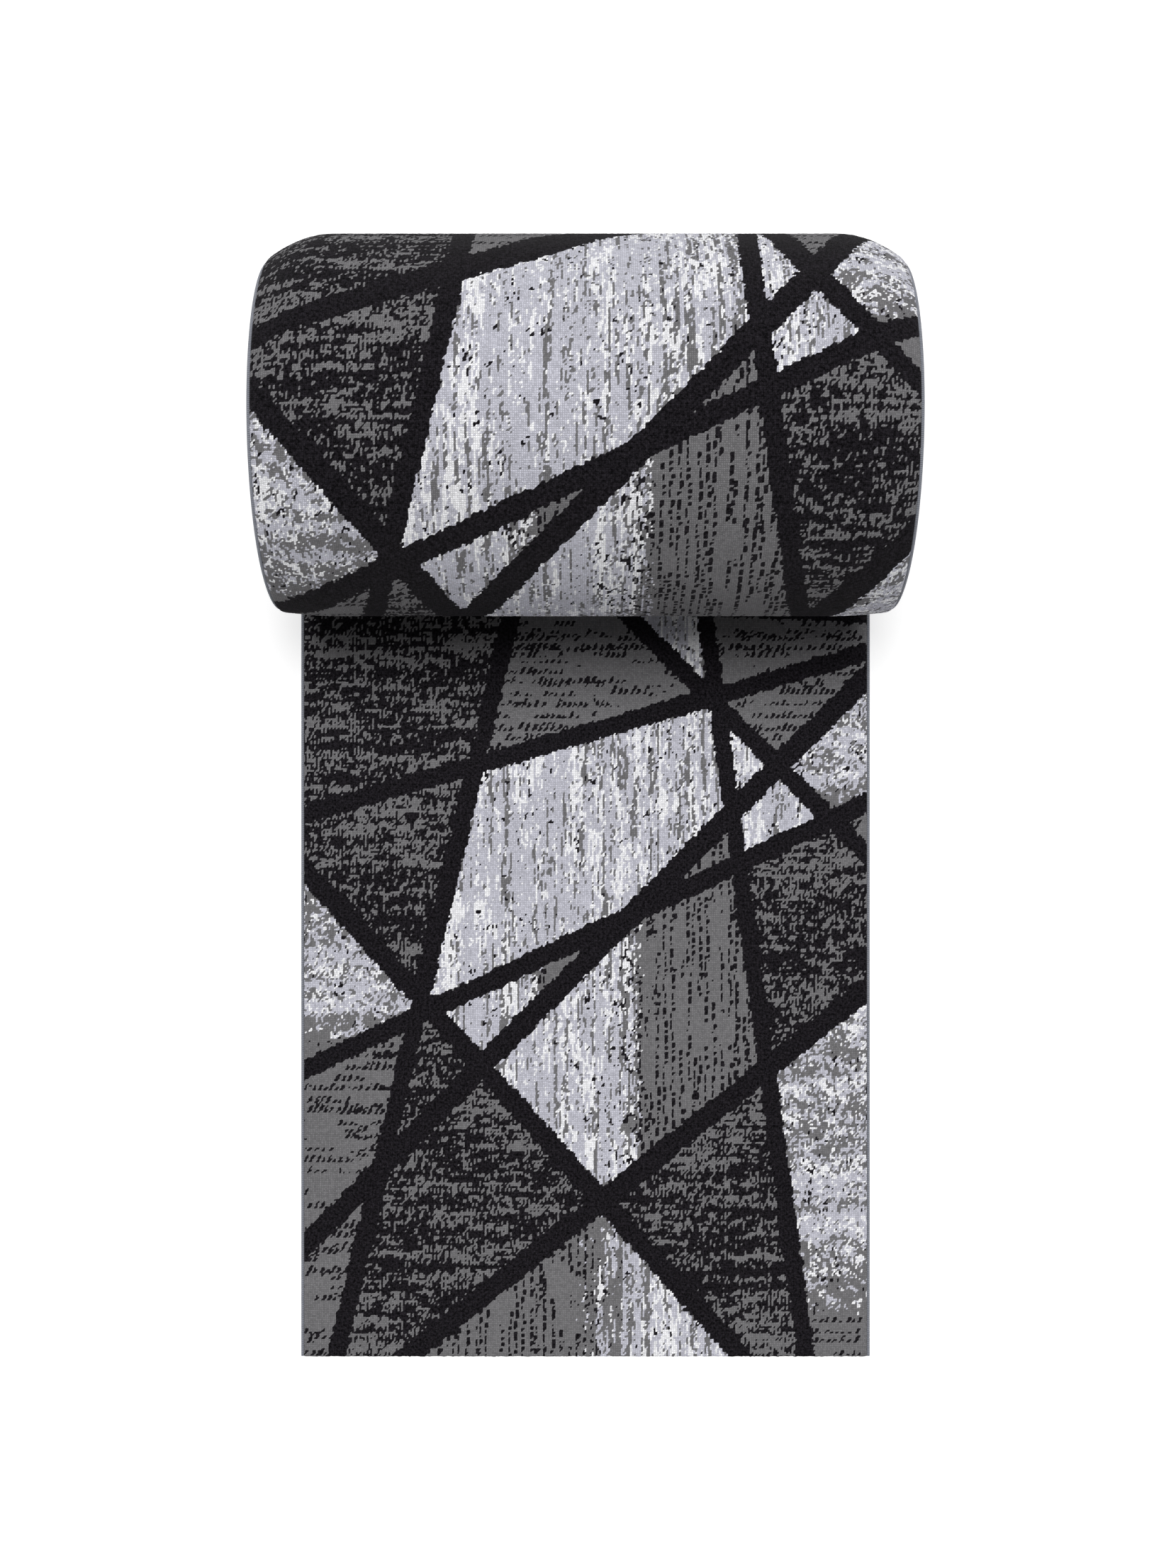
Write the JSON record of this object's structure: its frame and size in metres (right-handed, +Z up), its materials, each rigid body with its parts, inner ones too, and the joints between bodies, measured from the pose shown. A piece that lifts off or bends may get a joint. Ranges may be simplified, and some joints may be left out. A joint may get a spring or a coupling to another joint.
{
  "type": "runner rug",
  "caption": "Cut-pile runner rug with overlocked long edges, part wound on a cardboard core tube and part laid flat, with a free end that curls up.",
  "frame": {"origin": "on the floor, at the centre of the whole object's box", "axes": "+X across the rug, +Y along the rug from the free end towards the roll, +Z up"},
  "size_m": [0.8, 1.5038, 0.4774],
  "materials": {
    "pile": "cut wool-blend pile with an abstract grey, black and white pattern",
    "backing": "woven jute and latex backing",
    "overlock": "grey overlock yarn",
    "core": "spiral-wound brown board"
  },
  "bodies": {
    "roll": {"pile_roll_outer": "pile", "backing_roll_outer": "backing", "overlock_roll_outer_left": "overlock", "overlock_roll_outer_right": "overlock", "pile_roll_middle": "pile", "backing_roll_middle": "backing", "overlock_roll_middle_left": "overlock", "overlock_roll_middle_right": "overlock", "pile_roll_inner": "pile", "backing_roll_inner": "backing", "overlock_roll_inner_left": "overlock", "overlock_roll_inner_right": "overlock", "pile_lead": "pile", "backing_lead": "backing", "overlock_lead_left": "overlock", "overlock_lead_right": "overlock"},
    "panel_1": {"pile_panel_1": "pile", "backing_panel_1": "backing", "overlock_panel_1_left": "overlock", "overlock_panel_1_right": "overlock"},
    "panel_2": {"pile_panel_2": "pile", "backing_panel_2": "backing", "overlock_panel_2_left": "overlock", "overlock_panel_2_right": "overlock"},
    "panel_3": {"pile_panel_3": "pile", "backing_panel_3": "backing", "overlock_panel_3_left": "overlock", "overlock_panel_3_right": "overlock"},
    "panel_4": {"pile_panel_4": "pile", "backing_panel_4": "backing", "overlock_panel_4_left": "overlock", "overlock_panel_4_right": "overlock"},
    "panel_5": {"pile_panel_5": "pile", "backing_panel_5": "backing", "overlock_panel_5_left": "overlock", "overlock_panel_5_right": "overlock"},
    "panel_6": {"pile_panel_6": "pile", "backing_panel_6": "backing", "overlock_panel_6_left": "overlock", "overlock_panel_6_right": "overlock"},
    "core": {"core_tube": "core"}
  },
  "joints": [
    {"name": "end_curl", "type": "hinge", "parent": "roll", "child": "panel_1", "pos_m": [0, 0.14815, 0.01], "axis": [-1, 0, 0], "range_deg": [0, 30]},
    {"name": "end_curl_2", "type": "hinge", "parent": "panel_1", "child": "panel_2", "pos_m": [0, -0.00185, 0.01], "axis": [-1, 0, 0], "range_deg": [0, 30]},
    {"name": "end_curl_3", "type": "hinge", "parent": "panel_2", "child": "panel_3", "pos_m": [0, -0.15185, 0.01], "axis": [-1, 0, 0], "range_deg": [0, 30]},
    {"name": "end_curl_4", "type": "hinge", "parent": "panel_3", "child": "panel_4", "pos_m": [0, -0.30185, 0.01], "axis": [-1, 0, 0], "range_deg": [0, 30]},
    {"name": "end_curl_5", "type": "hinge", "parent": "panel_4", "child": "panel_5", "pos_m": [0, -0.45185, 0.01], "axis": [-1, 0, 0], "range_deg": [0, 30]},
    {"name": "end_curl_6", "type": "hinge", "parent": "panel_5", "child": "panel_6", "pos_m": [0, -0.60185, 0.01], "axis": [-1, 0, 0], "range_deg": [0, 30]},
    {"name": "core_slide", "type": "slide", "parent": "roll", "child": "core", "axis": [1, 0, 0], "range_m": [0, 0.82]}
  ],
  "couplings": [
    {"joint": "end_curl_2", "follows": "end_curl", "ratio": 1},
    {"joint": "end_curl_3", "follows": "end_curl", "ratio": 1},
    {"joint": "end_curl_4", "follows": "end_curl", "ratio": 1},
    {"joint": "end_curl_5", "follows": "end_curl", "ratio": 1},
    {"joint": "end_curl_6", "follows": "end_curl", "ratio": 1}
  ]
}
